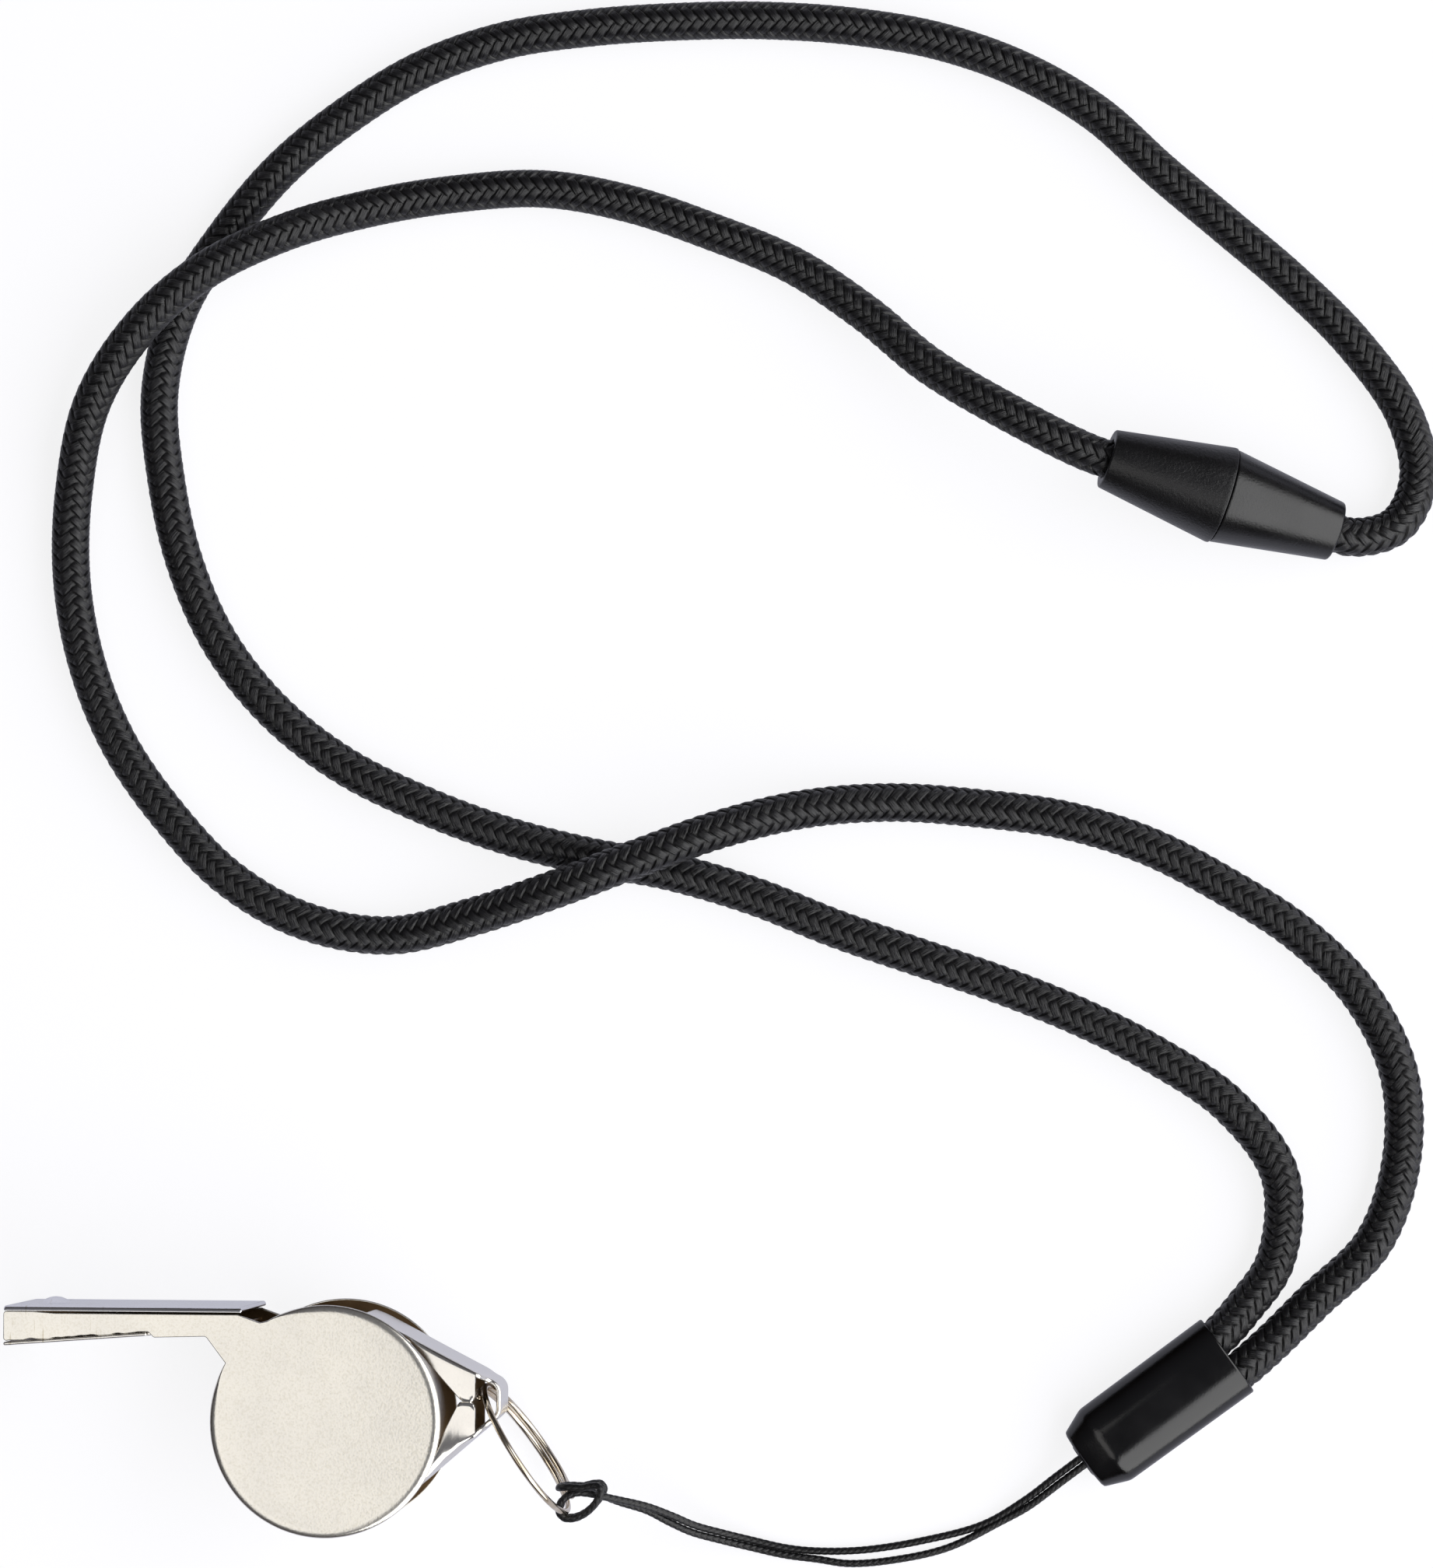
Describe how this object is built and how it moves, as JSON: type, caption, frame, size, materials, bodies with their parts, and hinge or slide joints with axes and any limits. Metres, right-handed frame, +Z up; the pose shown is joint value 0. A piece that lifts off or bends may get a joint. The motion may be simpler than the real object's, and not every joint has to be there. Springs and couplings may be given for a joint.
{
  "type": "pea whistle with neck lanyard",
  "caption": "Nickel plated sheet metal pea whistle with tail lug, split ring, thin cord tether, cord clamp and a black braided neck cord closed by a breakaway connector.",
  "frame": {"origin": "where the barrel axis meets the outer face of the rear side plate, which lies on the floor", "axes": "+Z up along the barrel axis, -X towards the mouthpiece, +X towards the tail lug, +Y towards the mouthpiece roof"},
  "size_m": [0.1397, 0.156, 0.016],
  "materials": {
    "nickel_plate": "bright nickel plate on brass sheet, warm, slightly mottled",
    "plated_wire": "nickel plated spring wire",
    "cork": "natural cork",
    "waxed_cord": "thin black waxed cord",
    "braided_cord": "black round polyester braid",
    "satin_plastic": "smooth satin black injection moulding",
    "grained_plastic": "fine grained matt black injection moulding",
    "crimped_tip": "plain crimped tube"
  },
  "bodies": {
    "whistle": {"front_side_plate": "nickel_plate", "rear_side_plate": "nickel_plate", "barrel_band": "nickel_plate", "mouthpiece_roof": "nickel_plate", "windway_floor": "nickel_plate", "tail_lug": "nickel_plate"},
    "pea": {"pea": "cork"},
    "ring": {"split_ring": "plated_wire"},
    "lanyard": {"tether_cord": "waxed_cord", "tether_knot": "waxed_cord", "clamp_sleeve": "satin_plastic", "clamp_end_cap": "satin_plastic", "neck_cord_left": "braided_cord", "neck_cord_right": "braided_cord", "neck_cord_release": "braided_cord", "breakaway_plug": "satin_plastic", "plug_cord_ferrule": "crimped_tip"},
    "socket": {"breakaway_socket": "grained_plastic", "socket_cord_ferrule": "crimped_tip"}
  },
  "joints": [
    {"name": "pea_orbit", "type": "hinge", "parent": "whistle", "child": "pea", "pos_m": [0, 0, 0.008], "axis": [0, 0, 1], "continuous": true},
    {"name": "ring_swing", "type": "hinge", "parent": "whistle", "child": "ring", "pos_m": [0.01435, 0.0026, 0.008], "axis": [0, 0, 1], "range_deg": [-30, 15]},
    {"name": "lanyard_swivel", "type": "hinge", "parent": "ring", "child": "lanyard", "pos_m": [0.02239, -0.00936, 0.008], "axis": [0, 0, 1], "range_deg": [-35, 25]},
    {"name": "breakaway_pull", "type": "slide", "parent": "lanyard", "child": "socket", "axis": [-0.945, 0.2907, 0.1495], "range_m": [0, 0.008], "deforming": ["neck_cord_release"]}
  ]
}
